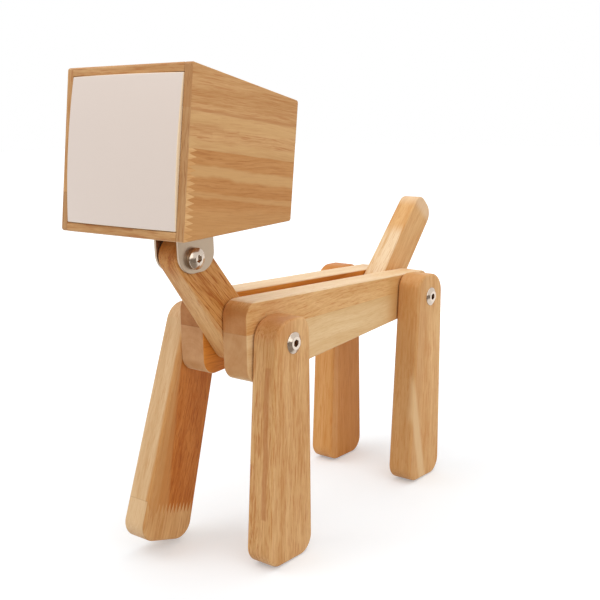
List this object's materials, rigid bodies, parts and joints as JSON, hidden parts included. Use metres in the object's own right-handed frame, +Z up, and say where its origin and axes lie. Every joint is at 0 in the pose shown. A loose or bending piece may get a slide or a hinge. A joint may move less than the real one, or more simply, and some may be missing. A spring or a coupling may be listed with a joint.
{
  "type": "dog table lamp",
  "caption": "Wooden desk lamp shaped like a standing dog, with a tapered box head holding a domed light panel on a swinging neck, and turning legs and tail.",
  "frame": {"origin": "middle of the lamp's outline on the surface that it stands on", "axes": "+Z up, the dog's face looks to -Y, its left side is +X, the bolts lie along X"},
  "size_m": [0.1152, 0.3843, 0.3596],
  "materials": {
    "warm_wood": "rubberwood, clear satin lacquer",
    "pale_wood": "pale rubberwood, clear satin lacquer",
    "polished_nickel": "polished nickel plate",
    "satin_nickel": "satin nickel plate",
    "zinc_screw": "zinc plate",
    "bare_aluminium": "mill finish",
    "milky_panel": "milky white, satin",
    "white_nylon": "natural nylon",
    "white_board": "white solder mask",
    "green_board": "green solder mask",
    "light_chip": "yellow phosphor gel",
    "black_plastic": "moulded black",
    "lead_red": "soft lead insulation"
  },
  "bodies": {
    "trunk": {"body_side_left": "pale_wood", "body_side_right": "pale_wood", "through_bolts": "polished_nickel", "sleeve_nuts": "polished_nickel", "leg_washers": "white_nylon", "bar_washers": "white_nylon"},
    "neck_bar": {"neck": "warm_wood"},
    "head": {"fork": "satin_nickel", "fork_bolt": "polished_nickel", "fork_nut": "polished_nickel", "fork_washers": "white_nylon", "fork_screws": "zinc_screw", "fork_screw_nuts": "zinc_screw", "head_left": "warm_wood", "head_right": "warm_wood", "head_top": "warm_wood", "head_bottom": "warm_wood", "head_back": "warm_wood", "back_blocks": "pale_wood", "back_screws": "zinc_screw", "light_panel": "milky_panel", "ledge_strips": "pale_wood", "light_plate": "bare_aluminium", "plate_blocks": "pale_wood", "plate_screws": "zinc_screw", "light_board": "white_board", "light_chips": "light_chip", "control_board": "green_board", "board_spacers": "zinc_screw", "control_parts": "black_plastic", "inner_leads": "lead_red", "inlet_socket": "black_plastic", "inlet_pin": "polished_nickel", "inlet_nut": "zinc_screw", "switch_body": "satin_nickel", "switch_nut": "zinc_screw"},
    "tail_bar": {"tail": "pale_wood"},
    "button": {"switch_button": "polished_nickel"},
    "front_left_leg_body": {"front_left_leg": "warm_wood"},
    "front_right_leg_body": {"front_right_leg": "warm_wood"},
    "rear_left_leg_body": {"rear_left_leg": "warm_wood"},
    "rear_right_leg_body": {"rear_right_leg": "warm_wood"}
  },
  "joints": [
    {"name": "neck_swing", "type": "hinge", "parent": "trunk", "child": "neck_bar", "pos_m": [0, -0.08079, 0.16636], "axis": [1, 0, 0], "range_deg": [-10, 30]},
    {"name": "head_tilt", "type": "hinge", "parent": "neck_bar", "child": "head", "pos_m": [0, -0.13404, 0.23119], "axis": [-1, 0, 0], "range_deg": [-35, 18]},
    {"name": "tail_swing", "type": "hinge", "parent": "trunk", "child": "tail_bar", "pos_m": [0, 0.11521, 0.16636], "axis": [-1, 0, 0], "range_deg": [-45, 70]},
    {"name": "front_left_leg_swing", "type": "hinge", "parent": "trunk", "child": "front_left_leg_body", "pos_m": [0, -0.08079, 0.16636], "axis": [-1, 0, 0], "range_deg": [-22.7, 27.3]},
    {"name": "front_right_leg_swing", "type": "hinge", "parent": "trunk", "child": "front_right_leg_body", "pos_m": [0, -0.08079, 0.16636], "axis": [-1, 0, 0], "range_deg": [-37.8, 12.2]},
    {"name": "rear_left_leg_swing", "type": "hinge", "parent": "trunk", "child": "rear_left_leg_body", "pos_m": [0, 0.11521, 0.16636], "axis": [-1, 0, 0], "range_deg": [-28, 22]},
    {"name": "rear_right_leg_swing", "type": "hinge", "parent": "trunk", "child": "rear_right_leg_body", "pos_m": [0, 0.11521, 0.16636], "axis": [-1, 0, 0], "range_deg": [-26.8, 23.2]},
    {"name": "switch_press", "type": "slide", "parent": "head", "child": "button", "axis": [0, -0.991, 0.134], "range_m": [0, 0.0015], "stiffness_N_per_m": 1000, "springref_m": -0.001}
  ]
}
